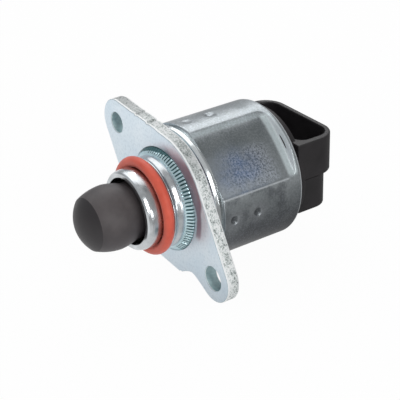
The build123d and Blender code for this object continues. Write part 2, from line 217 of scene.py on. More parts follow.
# Zinc plate of the flange: pale, satin, with a plum crescent beside the staked hole, and painted light and
# shade, lighter towards the top
def flange_material():
    mat, nt, bsdf = node_tree("zinc_pale")
    p = coords(nt)
    x, _, z = separate(nt, p)
    cloud = noise_tex(nt, p, 90.0, 4.0)
    fine = noise_tex(nt, p, 2600.0, 2.0)
    base = ramp(nt, cloud, [(0.3, (0.64, 0.75, 0.83)), (0.7, (0.78, 0.86, 0.91))])
    grain = span_value(nt, noise_tex(nt, p, 1300.0, 3.0, 0.7), 0.32, 0.52, 0.5, 0.0)
    base = mix(nt, grain, base, (0.50, 0.60, 0.68))
    # Painted light and shade: darker towards the bottom, lighter towards the top
    painted_light_and_shade = ramp(nt, span_value(nt, z, -0.022, 0.018, 0.0, 1.0),
                [(0.0, (0.91, 0.91, 0.92)), (0.6, (1.0, 1.0, 1.0)), (1.0, (1.12, 1.11, 1.11))])
    base = mix(nt, 1.0, base, painted_light_and_shade, "MULTIPLY")

    r = length2(nt, x, z)
    low = falling(nt, z, 0.0020, 0.0055)
    start = math_node(nt, "MULTIPLY_ADD", low, 0.0008, 0.0137)
    stop = math_node(nt, "MULTIPLY_ADD", low, -0.0010, 0.0176)
    crescent = product(
        nt,
        rising(nt, math_node(nt, "SUBTRACT", r, start), 0.0, 0.0005),
        falling(nt, math_node(nt, "SUBTRACT", r, stop), -0.0004, 0.0004),
        rising(nt, z, -0.0058, -0.0036),
        falling(nt, z, 0.0125, 0.0165),
        rising(nt, x, 0.0, 0.003),
        span_value(nt, cloud, 0.35, 0.6, 0.6, 0.9),
    )
    base = mix(nt, crescent, base, (0.32, 0.21, 0.265))
    surface(nt, bsdf, base, span_value(nt, cloud, 0.2, 0.8, 0.36, 0.46), fine, 0.10, 0.00004, 0.85)
    return mat


# Sheared edge of the plate: pale and grainy, with painted light and shade changing along the plate and
# painted highlight lines at its front and rear edges
def shear_material():
    mat, nt, bsdf = node_tree("zinc_shear")
    p = coords(nt)
    x, y, _ = separate(nt, p)
    grain = noise_tex(nt, p, 2300.0, 4.0, 0.8)
    coarse = noise_tex(nt, p, 620.0, 2.0)
    base = ramp(nt, weighted(nt, grain, 0.72, coarse, 0.28),
                [(0.38, (0.10, 0.12, 0.12)), (0.45, (0.52, 0.57, 0.56)), (0.51, (0.84, 0.88, 0.87)),
                 (0.58, (0.98, 0.99, 0.99))])
    # Painted light and shade along the plate
    greys = ((0.03, 0.54), (0.23, 0.76), (0.42, 0.80), (0.56, 0.62), (0.65, 0.74), (0.73, 1.0))
    painted_light_and_shade = ramp(nt, span_value(nt, x, -0.020, 0.028, 0.0, 1.0), [(at, (g, g, g)) for at, g in greys])
    base = mix(nt, 1.0, base, painted_light_and_shade, "MULTIPLY")
    # Painted highlight lines along the front and rear edges
    wear_and_painted_highlight = highest(nt, falling(nt, y, 0.00042, 0.00072), product(nt, rising(nt, y, 0.0030, 0.0032), 0.6))
    base = mix(nt, wear_and_painted_highlight, base, (0.95, 0.97, 0.97))
    surface(nt, bsdf, base, span_value(nt, coarse, 0.3, 0.7, 0.34, 0.52), grain, 0.7, 0.00016,
            math_node(nt, "MULTIPLY_ADD", wear_and_painted_highlight, -0.1, 0.32))
    return mat


# Rolled front edge of the plate, with a painted highlight, bright all along, and painted shade where it faces
# down and to the far side
def edge_material():
    mat, nt, bsdf = node_tree("zinc_edge")
    cloud = noise_tex(nt, coords(nt), 420.0, 3.0)
    base = ramp(nt, cloud, [(0.25, (0.74, 0.78, 0.80)), (0.5, (0.97, 0.98, 0.99))])
    # Painted shade where the edge faces down and to the far side
    facing = normals(nt)
    away = weighted(nt, facing[0], -0.8, facing[2], -0.6)
    base = mix(nt, rising(nt, away, 0.15, 0.45), base, (0.20, 0.215, 0.21))
    surface(nt, bsdf, base, span_value(nt, cloud, 0.3, 0.7, 0.38, 0.5), cloud, 0.1, 0.0001, 0.2)
    return mat


# Clouded metal of two tones
def clouded_material(name, scale, dark, light, rough, strength, metal):
    mat, nt, bsdf = node_tree(name)
    cloud = noise_tex(nt, coords(nt), scale, 3.0)
    base = ramp(nt, cloud, [(0.3, dark), (0.7, light)])
    surface(nt, bsdf, base, span_value(nt, cloud, 0.3, 0.7, *rough), cloud, strength, 0.0001, metal)
    return mat


# Can: mid-grey speckled zinc, with a bluish bloom on the flat in view
def can_material():
    mat, nt, bsdf = node_tree("zinc_can")
    p = coords(nt)
    x, y, z = separate(nt, p)
    cloud = noise_tex(nt, p, 110.0, 4.0)
    speck = noise_tex(nt, p, 2100.0, 3.0, 0.8)
    fine = noise_tex(nt, p, 5200.0, 1.0)
    base = ramp(nt, cloud, [(0.3, (0.27, 0.30, 0.31)), (0.72, (0.40, 0.43, 0.44))])

    # Square to the flats, and across their width from the lower edge to the upper one
    near = product(nt, math_node(nt, "ADD", x, z), 0.7071)
    over = product(nt, math_node(nt, "SUBTRACT", z, x), 0.7071, math_node(nt, "SIGN", near))
    front = rising(nt, near, 0.010, 0.012)

    bloom = product(
        nt,
        falling(nt, vector_node(nt, "DISTANCE", p, (0.0138, 0.0138, 0.0080)), 0.001, 0.0105),
        span_value(nt, noise_tex(nt, p, 330.0, 3.0), 0.32, 0.60, 0.45, 1.0),
        rising(nt, over, -0.0096, -0.0086),
    )
    base = mix(nt, bloom, base, (0.21, 0.34, 0.62))

    # Painted shade: darker underside, darkest at the bottom
    under = math_node(nt, "MULTIPLY_ADD", cloud, 0.006, z)
    base = mix(nt, product(nt, falling(nt, under, -0.008, 0.0078), 0.9), base, (0.115, 0.122, 0.130))
    base = mix(nt, product(nt, falling(nt, under, -0.0115, 0.0005), 0.7), base, (0.018, 0.019, 0.023))

    # Painted shade in the bowls of the dimples and a painted light halo round them, low on the can, with dark
    # blotches there too
    turn = math_node(nt, "ADD", math_node(nt, "ARCTAN2", z, x), math.radians(360.0 - DIMPLE_TURN))
    turn = math_node(nt, "MODULO", math_node(nt, "ADD", turn, QUARTER / 2), QUARTER)
    turn = product(nt, math_node(nt, "SUBTRACT", turn, QUARTER / 2), CAN_R * MM)
    along = math_node(nt, "MINIMUM", *(offset(nt, y, row * MM) for row in DIMPLE_ROWS))
    away = length2(nt, turn, along)
    bowl = falling(nt, away, 0.0009, 0.0014)
    halo = math_node(nt, "SUBTRACT", falling(nt, away, 0.0012, 0.0046), bowl)
    blotch = span_value(nt, noise_tex(nt, p, 240.0, 4.0, 0.6), 0.46, 0.60, 0.0, 1.0)
    lower = falling(nt, z, 0.004, 0.008)
    base = mix(nt, product(nt, bowl, lower, 0.6), base, (0.06, 0.065, 0.07))
    base = mix(nt, product(nt, blotch, lower, 0.55), base, (0.10, 0.108, 0.12))
    base = mix(nt, product(nt, halo, lower, 0.38), base, (0.42, 0.44, 0.46))

    # Zones of the flat in view: painted shade above, painted light in the middle and in the low corner
    high = product(nt, rising(nt, over, -0.0020, 0.0045), falling(nt, over, 0.0070, 0.0082), front,
                   falling(nt, y, 0.0245, 0.0270))
    base = mix(nt, product(nt, high, 0.7), base, (0.235, 0.262, 0.266))
    middle = product(nt, front, falling(nt, over, 0.0005, 0.0035), rising(nt, over, -0.0092, -0.0080),
                     falling(nt, y, 0.0215, 0.0262))
    clear = math_node(nt, "MULTIPLY_ADD", bloom, -0.5, 0.5)
    base = mix(nt, product(nt, middle, clear), base, (0.50, 0.54, 0.57))
    corner = product(nt, middle, falling(nt, over, -0.0078, -0.0030))
    base = mix(nt, product(nt, corner, 0.55), base, (0.62, 0.68, 0.72))

    # Painted highlight as a pale crest over the flat, painted light on the wall behind it, and painted
    # highlight lines along the lower edge and the rear rim
    span = falling(nt, y, 0.0258, 0.0272)
    crest = product(nt, falling(nt, offset(nt, over, 0.0091), 0.0003, 0.0012), span,
                    span_value(nt, cloud, 0.3, 0.6, 0.35, 0.65))
    crest_seen = product(nt, crest, front)
    wall = product(nt, rising(nt, y, 0.0262, 0.0272), falling(nt, y, 0.0290, 0.0298),
                   falling(nt, math_node(nt, "ABSOLUTE", over), 0.0080, 0.0095), 0.72, front)
    line = falling(nt, offset(nt, over, -0.00925), 0.00008, 0.00034)
    wear_and_painted_highlight = highest(nt, rising(nt, y, 0.0297, 0.0303), product(nt, line, span, 0.6))
    base = mix(nt, crest_seen, base, (0.46, 0.53, 0.54))
    base = mix(nt, wall, base, (0.74, 0.84, 0.85))
    base = mix(nt, wear_and_painted_highlight, base, (0.66, 0.70, 0.72))
    wear_and_painted_highlight = highest(nt, wear_and_painted_highlight, crest_seen, wall)
    # Painted light on faces turned to the front
    ahead = rising(nt, product(nt, normals(nt)[1], -1.0), 0.3, 0.8)
    base = mix(nt, product(nt, ahead, 0.8), base, (0.74, 0.78, 0.80))

    # Light and dull specks, strongest in the bloom and beside it
    place = highest(nt, bloom, product(nt, rising(nt, z, 0.0125, 0.0175), 0.30),
                    product(nt, middle, rising(nt, y, 0.012, 0.019), 0.85), 0.18)
    light = span_value(nt, speck, 0.50, 0.59, 0.0, 1.0)
    base = mix(nt, product(nt, light, place, 0.85), base, (0.62, 0.66, 0.76))
    dull = span_value(nt, speck, 0.50, 0.41, 0.0, 1.0)
    base = mix(nt, product(nt, dull, place, 0.75), base, (0.09, 0.10, 0.13))

    gloss = span_value(nt, cloud, 0.2, 0.8, 0.27, 0.40)
    surface(nt, bsdf, base, math_node(nt, "MULTIPLY_ADD", crest, 0.35, gloss),
            math_node(nt, "MULTIPLY_ADD", fine, 0.5, speck), 0.3, 0.00007,
            math_node(nt, "MULTIPLY_ADD", wear_and_painted_highlight, -0.55, 0.92))
    return mat


# Turned metal with fine marks round the axis
def bright_material(name, colour, rough, marks=0.12, metal=1.0, fade=0.72):
    mat, nt, bsdf = node_tree(name)
    p = coords(nt)
    stretch = nt.nodes.new("ShaderNodeMapping")
    stretch.inputs["Scale"].default_value = (0.25, 9.0, 0.25)
    nt.links.new(p, stretch.inputs["Vector"])
    lines = noise_tex(nt, stretch.outputs["Vector"], 700.0, 2.0)
    cloud = noise_tex(nt, p, 260.0, 3.0)
    base = ramp(nt, cloud, [(0.32, tuple(c * fade for c in colour)), (0.62, colour)])
    surface(nt, bsdf, base, span_value(nt, cloud, 0.3, 0.7, rough, rough + 0.10), lines, marks, 0.00005,
            metal)
    return mat


def rubber_material(name, colour, dark):
    mat, nt, bsdf = node_tree(name)
    p = coords(nt)
    cloud = noise_tex(nt, p, 240.0, 3.0)
    fine = noise_tex(nt, p, 3200.0, 2.0)
    base = ramp(nt, cloud, [(0.3, dark), (0.7, colour)])
    bsdf.inputs["Sheen Weight"].default_value = 0.15
    surface(nt, bsdf, base, span_value(nt, cloud, 0.3, 0.7, 0.42, 0.55), fine, 0.12, 0.00005)
    return mat


# Moulded plastic; a tip given in metres along y gets painted shade on the dome, parted by a sharp crease, and
# painted shade towards the bottom
def plastic_material(name, colour, light, rough, grain=0.15, tip=None, scale=2400.0):
    mat, nt, bsdf = node_tree(name)
    p = coords(nt)
    cloud = noise_tex(nt, p, 140.0, 4.0)
    fine = noise_tex(nt, p, scale, 3.0)
    base = ramp(nt, cloud, [(0.3, colour), (0.75, light)])
    if tip is not None:
        _, y, z = separate(nt, p)
        # Painted shade: darker towards the bottom, and darkest on the dome beyond the crease
        low = falling(nt, z, -0.0055, 0.0045)
        dome = falling(nt, y, tip - 0.00006, tip + 0.00006)
        base = mix(nt, product(nt, low, 0.50), base, (0.028, 0.024, 0.030))
        base = mix(nt, product(nt, dome, math_node(nt, "MULTIPLY_ADD", low, -0.22, 0.86)), base,
                   (0.012, 0.010, 0.012))
    surface(nt, bsdf, base, span_value(nt, cloud, 0.3, 0.7, rough, rough + 0.10), fine, grain, 0.00006)
    return mat


def wound_material():
    mat, nt, bsdf = node_tree("copper_wound")
    p = coords(nt)
    wire_pitch = 0.00022
    turns = math_node(nt, "SINE", product(nt, separate(nt, p)[1], math.tau / wire_pitch))
    cloud = noise_tex(nt, p, 400.0, 3.0)
    base = ramp(nt, cloud, [(0.3, (0.42, 0.13, 0.045)), (0.7, (0.66, 0.24, 0.09))])
    surface(nt, bsdf, base, span_value(nt, cloud, 0.3, 0.7, 0.25, 0.38), turns, 0.6, 0.00008, 0.8)
    return mat


ZINC = flange_material()
SHEAR = shear_material()
RECESS = clouded_material("zinc_recess", 300.0, (0.36, 0.50, 0.54), (0.54, 0.68, 0.72), (0.24, 0.36), 0.15,
                          0.9)
EDGE = edge_material()
BORE = clouded_material("zinc_bore", 700.0, (0.42, 0.57, 0.60), (0.56, 0.71, 0.73), (0.5, 0.62), 0.2, 0.55)
CAN = can_material()
BRIGHT = bright_material("steel_bright", (0.66, 0.69, 0.71), 0.19, 0.05)
RING = bright_material("steel_ring", (0.74, 0.78, 0.79), 0.12, 0.0, 1.0, 0.9)
COLLAR = bright_material("steel_collar", (0.60, 0.79, 0.84), 0.24, 0.06, 0.8)
# Painted shade: dark teal in the notches of the teeth and in the shadow at the top of the recess
PAINTED_SHADE = bright_material("steel_painted_shade", (0.08, 0.18, 0.195), 0.40, 0.1, 0.6)
GROUND = bright_material("steel_ground", (0.62, 0.63, 0.65), 0.22, 0.2)
SPRING = bright_material("steel_spring", (0.50, 0.51, 0.53), 0.28, 0.1)
BRASS = bright_material("brass_turned", (0.72, 0.50, 0.20), 0.24, 0.2)
BRONZE = bright_material("bronze_sintered", (0.46, 0.28, 0.14), 0.42, 0.1)
TIN = bright_material("tin_plate", (0.68, 0.67, 0.64), 0.25, 0.1)
RED = rubber_material("rubber_red", (0.82, 0.130, 0.074), (0.66, 0.085, 0.046))
DARK_RUBBER = rubber_material("rubber_dark", (0.03, 0.03, 0.032), (0.015, 0.015, 0.016))
PINTLE = plastic_material("moulded_dark", (0.042, 0.035, 0.037), (0.096, 0.083, 0.084), 0.44, 0.2,
                          CREASE[1] * MM)
BLACK = plastic_material("moulded_black", (0.009, 0.0078, 0.0088), (0.020, 0.017, 0.019), 0.40, 0.16)
PALE = plastic_material("moulded_pale", (0.52, 0.48, 0.38), (0.64, 0.60, 0.50), 0.45, 0.12)
FERRITE = plastic_material("ferrite", (0.045, 0.045, 0.05), (0.09, 0.09, 0.095), 0.5, 0.35, None, 1400.0)
COPPER = wound_material()


# ---- Mesh helpers; shapes are drawn in millimetres ----

def polar(r, y, a):
    return (r * math.cos(a), y, r * math.sin(a))


def step(v, low, high):
    t = min(max((v - low) / (high - low), 0.0), 1.0)
    return t * t * (3 - 2 * t)


def turn_from(phi, centre):
    """Signed angle from the centre to phi, within half a turn."""
    return (phi - centre + math.pi) % math.tau - math.pi


def finish_mesh(me, angle):
    bm = bmesh.new()
    bm.from_mesh(me)
    bmesh.ops.remove_doubles(bm, verts=bm.verts, dist=1e-8)
    bmesh.ops.recalc_face_normals(bm, faces=bm.faces)
    bm.to_mesh(me)
    bm.free()
    me.polygons.foreach_set("use_smooth", [True] * len(me.polygons))
    me.set_sharp_from_angle(angle=math.radians(angle))
    me.update()


def place_object(name, data):
    ob = bpy.data.objects.new(name, data)
    scene.collection.objects.link(ob)
    return ob


def piece(name, verts, faces, mats, body, replaced, angle=30.0, face_mats=None):
    me = bpy.data.meshes.new(name)
    me.from_pydata([Vector(v) * MM for v in verts], [], faces)
    me.validate()
    for m in mats:
        me.materials.append(m)
    if face_mats is not None:
        me.polygons.foreach_set("material_index", face_mats)
    finish_mesh(me, angle)
    ob = place_object(name, me)
    if body:
        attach(ob, body)
    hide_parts(replaced)
    return ob


def filleted(points, radii):
    """Closed polyline with each corner rounded by its radius."""
    steps = 5
    straight = math.radians(176)
    out = []
    n = len(points)
    for i, r in enumerate(radii):
        p = Vector(points[i])
        a = Vector(points[i - 1]) - p
        b = Vector(points[(i + 1) % n]) - p
        if r <= 0 or min(a.length, b.length) < 1e-9 or a.angle(b) > straight:
            out.append(tuple(p))
            continue
        half = a.angle(b) / 2
        t = min(r / math.tan(half), a.length * 0.49, b.length * 0.49)
        r = t * math.tan(half)
        c = p + (a.normalized() + b.normalized()).normalized() * (r / math.sin(half))
        va = p + a.normalized() * t - c
        vb = p + b.normalized() * t - c
        full = va.angle(vb)
        for k in range(steps + 1):
            f = k / steps
            q = c + (va * math.sin((1 - f) * full) + vb * math.sin(f * full)) / math.sin(full)
            out.append(tuple(q))
    return out


def lathe(name, profile, mats, body, replaced, segments=256, angle=35.0, pick=None, closed=True,
          radius=None):
    """Profile of (radius, y) turned round the axis; pick names the material of each band."""
    n = len(profile)
    verts = []
    for k in range(segments):
        a = math.tau * k / segments
        verts += [polar(radius(a, r, y) if radius else r, y, a) for r, y in profile]
    bands = [(i, (i + 1) % n) for i in range(n if closed else n - 1)]
    faces = []
    for k in range(segments):
        here, there = k * n, (k + 1) % segments * n
        faces += [(here + i, there + i, there + j, here + j) for i, j in bands]
    face_mats = [pick(profile[i], profile[j]) for i, j in bands] * segments if pick else None
    return piece(name, verts, faces, mats, body, replaced, angle, face_mats)


def skin(loops, tube=False):
    """Faces between loops of equal length: a tube closes on itself, anything else gets two caps."""
    verts = [p for loop in loops for p in loop]
    n = len(loops[0])
    count = len(loops)
    faces = []
    for i in range(count if tube else count - 1):
        here, there = i * n, (i + 1) % count * n
        for k in range(n):
            k2 = (k + 1) % n
            faces.append((here + k, here + k2, there + k2, there + k))
    if not tube:
        faces.append(tuple(range(n))[::-1])
        faces.append(tuple((count - 1) * n + k for k in range(n)))
    return verts, faces


# ---- Flange plate, from its outline: u runs to the upper ear, v across ----

SLOPE = math.asin((DISC_R - EAR_R) / HALF_PITCH)
E_U = Vector((-math.sin(EAR_TURN), 0, math.cos(EAR_TURN)))
E_V = Vector((math.cos(EAR_TURN), 0, math.sin(EAR_TURN)))
E_Y = Vector((0, 1, 0))


def edge_v(u):
    return (EAR_R + (HALF_PITCH - u) * math.sin(SLOPE)) / math.cos(SLOPE)


def arc(cu, r, start, end, steps):
    turns = [start + (end - start) * k / steps for k in range(steps + 1)]
    return [(cu + r * math.cos(a), r * math.sin(a)) for a in turns]


def flange_outline():
    """Two ears and the disc between them, with stamped steps on one edge and a cut at the lower ear."""
    top = math.pi / 2 - SLOPE
    stamped = [(21.6, 0.0), (21.2, 0.16), (20.8, 0.20), (20.55, 0.04), (20.4, -0.16), (20.05, -0.18),
               (19.8, 0.0), (19.5, 0.16), (18.6, 0.2), (17.2, 0.22), (16.5, 0.24), (16.1, 0.2),
               (15.9, 0.0), (15.75, -0.16), (15.4, -0.16), (15.15, 0.02), (14.9, 0.14), (13.6, 0.2),
               (12.0, 0.14), (11.3, 0.0)]
    cut = [(-23.6, -6.42), (-21.6, -6.6), (-19.9, -6.85), (-18.7, -7.3), (-17.8, -8.2), (-16.8, -9.7),
           (-16.2, -10.8), (-15.95, -11.35), (-15.7, -11.6), (-15.5, -11.5), (-15.35, -11.75),
           (-15.1, -12.25)]
    pts = arc(HALF_PITCH, EAR_R, -top, top, 40)
    pts += [(u, edge_v(u) + rise) for u, rise in stamped]
    pts += arc(0, DISC_R, top, math.pi - top, 60)
    pts += arc(-HALF_PITCH, EAR_R, math.pi - top, math.pi * 1.5, 44)
    pts += cut
    pts += arc(0, DISC_R, math.pi + top, math.tau - top, 60)
    return pts


def resample(points, spacing):
    out = []
    for i, point in enumerate(points):
        a = Vector(point)
        b = Vector(points[(i + 1) % len(points)])
        d = (b - a).length
        if d < 1e-6:
            continue
        parts = max(1, int(round(d / spacing)))
        out += [tuple(a + (b - a) * (j / parts)) for j in range(parts)]
    return out


def hole(cu, r, n):
    return [(cu + r * math.cos(-math.tau * k / n), r * math.sin(-math.tau * k / n)) for k in range(n)]


def plate_mesh(name, loops, thick, bevel):
    """Plate of the given outline and holes, its front face at y 0."""
    cu = bpy.data.curves.new(name, "CURVE")
    cu.dimensions = "2D"
    cu.fill_mode = "BOTH"
    cu.extrude = (thick / 2 - bevel) * MM
    cu.bevel_depth = bevel * MM
    cu.bevel_resolution = 3
    cu.offset = -bevel * MM
    for loop in loops:
        sp = cu.splines.new("POLY")
        sp.points.add(len(loop) - 1)
        for q, (u, v) in zip(sp.points, loop):
            q.co = (u * MM, v * MM, 0, 1)
        sp.use_cyclic_u = True
    ob = place_object(name + "_curve", cu)
    bpy.context.view_layer.update()
    me = bpy.data.meshes.new_from_object(ob)
    bpy.data.objects.remove(ob)
    bpy.data.curves.remove(cu)
    for v in me.vertices:
        c = v.co.copy()
        v.co = E_U * c.x + E_V * c.y + E_Y * (c.z + thick / 2 * MM)
    return me


def plate_kind(poly):
    """Material of a face of the plate, from where it lies and how it faces."""
    side, corner, face = 0.35, 0.80, 0.97
    near_bolt, near_recess = LOWER_HOLE_R + 0.25, STAKED_R + 0.55
    c = poly.center / MM
    level = abs(poly.normal.y)
    if level < side:
        if math.hypot(abs(c.dot(E_U)) - HALF_PITCH, c.dot(E_V)) < near_bolt:
            return BORE
        return RECESS if math.hypot(c.x, c.z) < near_recess else SHEAR
    if level < corner:
        return EDGE
    return RECESS if poly.normal.y < 0 and level < face else ZINC


def build_flange():
    loops = [resample(flange_outline(), 0.3), hole(HALF_PITCH, UPPER_HOLE_R, 64),
             hole(-HALF_PITCH, LOWER_HOLE_R, 72), hole(0, STAKED_R, 220)]
    me = plate_mesh("flange_plate", loops, PLATE_T, 0.30)
    mats = [ZINC, SHEAR, RECESS, EDGE, BORE]
    me.materials.clear()
    for m in mats:
        me.materials.append(m)
    finish_mesh(me, 28.0)
    for poly in me.polygons:
        poly.material_index = mats.index(plate_kind(poly))
    ob = place_object("flange_plate", me)
    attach(ob, "housing")
    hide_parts("mounting_flange")

    ledge = [(12.53, 1.8), (13.66, 1.8), (13.66, 3.45), (12.53, 3.45)]
    lathe("flange_ledge", ledge, [RECESS], "housing", "mounting_flange", 160)


# ---- Nose: sleeve, toothed collar, sealing ring and pintle ----

def sleeve_kind(a, b):
    """Collar from the neck behind the ring to the plate, bright steel elsewhere."""
    return 1 if min(a[1], b[1]) > -2.3 and min(a[0], b[0]) > 11 else 0


def build_sleeve():
    profile = filleted(
        [(SLEEVE_R, SLEEVE_FRONT), (9.85, SLEEVE_FRONT), (10.2, -10.85), (10.44, -10.1), (10.5, -9.6),
         (10.5, -7.55), (10.18, -7.5), (10.18, -4.6), (12.05, -4.6), (12.05, -4.2), (11.7, -3.85),
         (11.72, -3.4), (12.05, -2.4), (12.1, -1.95), (12.2, 0.85), (12.5, 0.85), (12.5, PLATE_T),
         (SLEEVE_R, PLATE_T)],
        [0.16, 0.2, 0.3, 0.4, 0.4, 0.1, 0.06, 0.1, 0.18, 0.15, 0.4, 0.8, 0.5, 0.3, 0.02, 0.02, 0.05, 0.05],
    )
    lathe("nose_tube", profile, [BRIGHT, COLLAR], "housing", "nose_sleeve", 320, 35.0,
          sleeve_kind)


def build_teeth():
    wave = [0.0, 0.0, 0.0, 0.0, 0.0, 0.3, 1.0, 1.0, 1.0, 0.3]
    per = len(wave)
    n = 88 * per
    notch, lift = 0.26, 0.36

    def run(k):
        """Share of the teeth at a point round the axis: full where the photo shows them."""
        turn = (360 * k / n + 180) % 360 - 180
        return step(turn, -66, -44) * (1 - step(turn, 98, 122))

    # Radius, y and share of the notch's depth
    levels = [(12.08, -1.66, 0.0), (12.26, -1.56, 0.1), (12.42, -1.42, 0.4), (12.58, -1.25, 0.8),
              (12.74, -1.08, 1.0), (12.92, -0.90, 1.0), (13.10, -0.70, 1.0), (13.30, -0.48, 1.0),
              (13.48, -0.26, 0.8), (13.61, -0.02, 0.5), (13.64, 0.2, 0.2), (13.64, 0.84, 0.1),
              (12.3, 0.84, 0.0)]
    loops = []
    for r, y, depth in levels:
        loop = []
        for k in range(n):
            a = math.tau * k / n
            wear_and_painted_highlight = 0.8 + 0.5 * noise.noise(Vector((math.cos(a) * 9, math.sin(a) * 9, 3.0)))
            low = depth * wave[k % per] * min(max(wear_and_painted_highlight, 0.5), 1.1) * run(k)
            loop.append(polar(r - notch * low, y + (lift * low if y < 0.1 else 0.0), a))
        loops.append(loop)
    verts, faces = skin(loops, True)

    def kind(face):
        """Painted shade in the notches and painted shadow in the crescent at the top of the recess."""
        row = min(v // n for v in face)
        at = min(face) % n
        turn = 360 * at / n
        shade = math.sin(math.pi * min(max((turn - 62) / 92, 0.0), 1.0))
        if row > 9.8 - 5.6 * shade - 0.8 * noise.noise(Vector((turn * 0.35, row, 5.0))):
            return 1
        return 1 if row >= 2 and run(at) > 0.35 and sum(wave[v % n % per] for v in face) > 1.9 else 0

    piece("collar_teeth", verts, faces, [COLLAR, PAINTED_SHADE], "housing", "nose_sleeve", 28.0,
          [kind(f) for f in faces])


def build_ring():
    turns = [math.tau * k / 40 for k in range(40)]
    section = [(SEAT_R + RING_R + RING_R * math.cos(t), RING_Y + RING_R * math.sin(t)) for t in turns]
    lathe("nose_ring", section, [RED], "housing", "o_ring", 256, 60.0)


def arc3(a, b, c, steps):
    """Points of the arc from a through b to c, without a."""
    (ax, ay), (bx, by), (cx, cy) = a, b, c
    d = 2 * (ax * (by - cy) + bx * (cy - ay) + cx * (ay - by))
    sa, sb, sc = ax * ax + ay * ay, bx * bx + by * by, cx * cx + cy * cy
    ox = (sa * (by - cy) + sb * (cy - ay) + sc * (ay - by)) / d
    oy = (sa * (cx - bx) + sb * (ax - cx) + sc * (bx - ax)) / d
    r = math.hypot(ax - ox, ay - oy)
    t0 = math.atan2(ay - oy, ax - ox)
    t1 = math.atan2(cy - oy, cx - ox)
    while t1 - t0 > math.pi:
        t1 -= math.tau
    while t0 - t1 > math.pi:
        t1 += math.tau
    turns = [t0 + (t1 - t0) * k / steps for k in range(1, steps + 1)]
    return [(ox + r * math.cos(t), oy + r * math.sin(t)) for t in turns]


# Pintle, with a smooth dome, a crease round it and a barrel-shaped body
def pintle_profile():
    rise = CREASE[1] - TIP_Y
    dome_r = (CREASE[0] ** 2 + rise ** 2) / (2 * rise)
    edge = math.asin(CREASE[0] / dome_r)
    turns = [edge * k / 24 for k in range(1, 24)]
    pts = [(dome_r * math.sin(a), TIP_Y + dome_r * (1 - math.cos(a))) for a in turns]
    pts.append(CREASE)
    pts += arc3(CREASE, (8.025, -18.975), (8.4, -15.8), 18)
    pts += arc3((8.4, -15.8), (8.03, -13.4), (7.3, -11.0), 14)
    pts += [(7.3, -8.0), (7.3, -4.4), (7.2, -4.25), (7.1, -4.2), (6.45, -4.2), (6.3, -4.35), (6.3, -11.0),
            (6.2, -17.4), (6.0, -17.7), (3.7, -17.7), (3.5, -17.5), (3.5, -14.2), (3.4, -14.1), (2.42, -14.1),
            (2.42, -20.0)]
    return pts


def build_pintle():
    prof = pintle_profile()
    seg = 192
    n = len(prof)
    verts = [(0, TIP_Y, 0), (0, prof[-1][1], 0)]
    for k in range(seg):
        verts += [polar(r, y, math.tau * k / seg) for r, y in prof]
    faces = []
    for k in range(seg):
        here = 2 + k * n
        there = 2 + (k + 1) % seg * n
        faces += [(0, here, there), (1, there + n - 1, here + n - 1)]
        faces += [(here + i, there + i, there + i + 1, here + i + 1) for i in range(n - 1)]
    piece("pintle_plug", verts, faces, [PINTLE], "plunger", "pintle", 14.0)


# ---- Steel ring between flange and can, with the bearing carrier behind it ----

def flat_radius(phi, r, distance):
    """Radius held inside the two flats."""
    for turn in FLAT_TURNS:
        d = math.cos(phi - turn)
        if d > 0.2:
            r = min(r, distance / d)
    return r


def build_front_ring():
    profile = filleted(
        [(6.17, PLATE_T), (17.0, PLATE_T), (17.1, 3.85), (17.6, 3.9), (17.72, 4.05), (17.98, 4.8),
         (17.9, 5.2), (17.1, 5.3), (17.05, 5.98), (17.45, 6.05), (17.45, 9.9), (13.6, 9.9), (13.6, 6.0),
         (9.4, 6.0), (9.4, 9.0), (8.02, 9.0), (8.02, 5.0), (6.17, 5.0)],
        [0.1, 0.05, 0.1, 0.06, 0.1, 0.3, 0.15, 0.1, 0.05, 0.05, 0.2, 0.2, 0.2, 0.2, 0.2, 0.1, 0.1, 0.1],
    )
    in_can, flat_d = 6.02, 15.0
    lathe("front_ring", profile, [RING], "housing", "front_plate", 360,
          radius=lambda a, r, y: flat_radius(a, r, flat_d) if y > in_can else r)


# ---- Can: one skin of varying radius, so that the flats and dimples are pressed softly ----

DIMPLES = [(math.radians(turn), y) for turn in (DIMPLE_TURN, 96.5, 175.5, 276.5) for y in DIMPLE_ROWS]
DIMPLE_R = 1.4
DIMPLE_DEEP = 0.6
DIMPLE_FAINT = 0.25
FLAT_A = 9.15
FLAT_Y0 = 6.4
FLAT_Y1 = 28.6
FLAT_CORNER = 1.9
FLAT_BULGE = 0.6
CAN_FRONT_ROUND = 0.22
CAN_BACK_ROUND = 1.0


def soft_min(a, b, k):
    h = max(k - abs(a - b), 0.0) / k
    return min(a, b) - h * h * k * 0.25


def can_radius(phi, y, skin_r):
    """Radius of the can's outer or inner skin: round, with two flats, and dimples outside."""
    r = skin_r
    off = CAN_R - skin_r
    outside = off < 0.01
    for turn in FLAT_TURNS:
        d = turn_from(phi, turn)
        if abs(d) > 1.2:
            continue
        flat = (FLAT_D - off) / math.cos(d)
        a = abs(flat * math.sin(d))
        if outside:
            flat += FLAT_BULGE * max(0.0, 1 - (a / FLAT_A) ** 2)
        rear = max(y - (FLAT_Y1 - FLAT_CORNER), 0.0)
        side = (1.0 if d < 0 else 0.6) * max(a - (FLAT_A - FLAT_CORNER), 0.0)
        q = math.hypot(rear, side) - FLAT_CORNER
        flat += 2.5 * 0.5 * (q + math.sqrt(q * q + 0.015))
        flat += 1.6 * max(FLAT_Y0 - y, 0.0) ** 2
        r = soft_min(r, flat, 0.3 + 1.3 * step(d, 0.05, 0.45) * (1 - step(y, 27.3, 29.2)))
    if outside:
        for turn, row in DIMPLES:
            s = math.hypot(turn_from(phi, turn) * CAN_R, y - row)
            if s > 2.9:
                continue
            deep = DIMPLE_FAINT if 1 < turn < 2 and row == DIMPLE_ROWS[0] else DIMPLE_DEEP
            r -= deep * max(0.0, 1 - (s / DIMPLE_R) ** 2)
            r -= 0.12 * deep * math.exp(-((s - DIMPLE_R) / 0.5) ** 2)
    return r


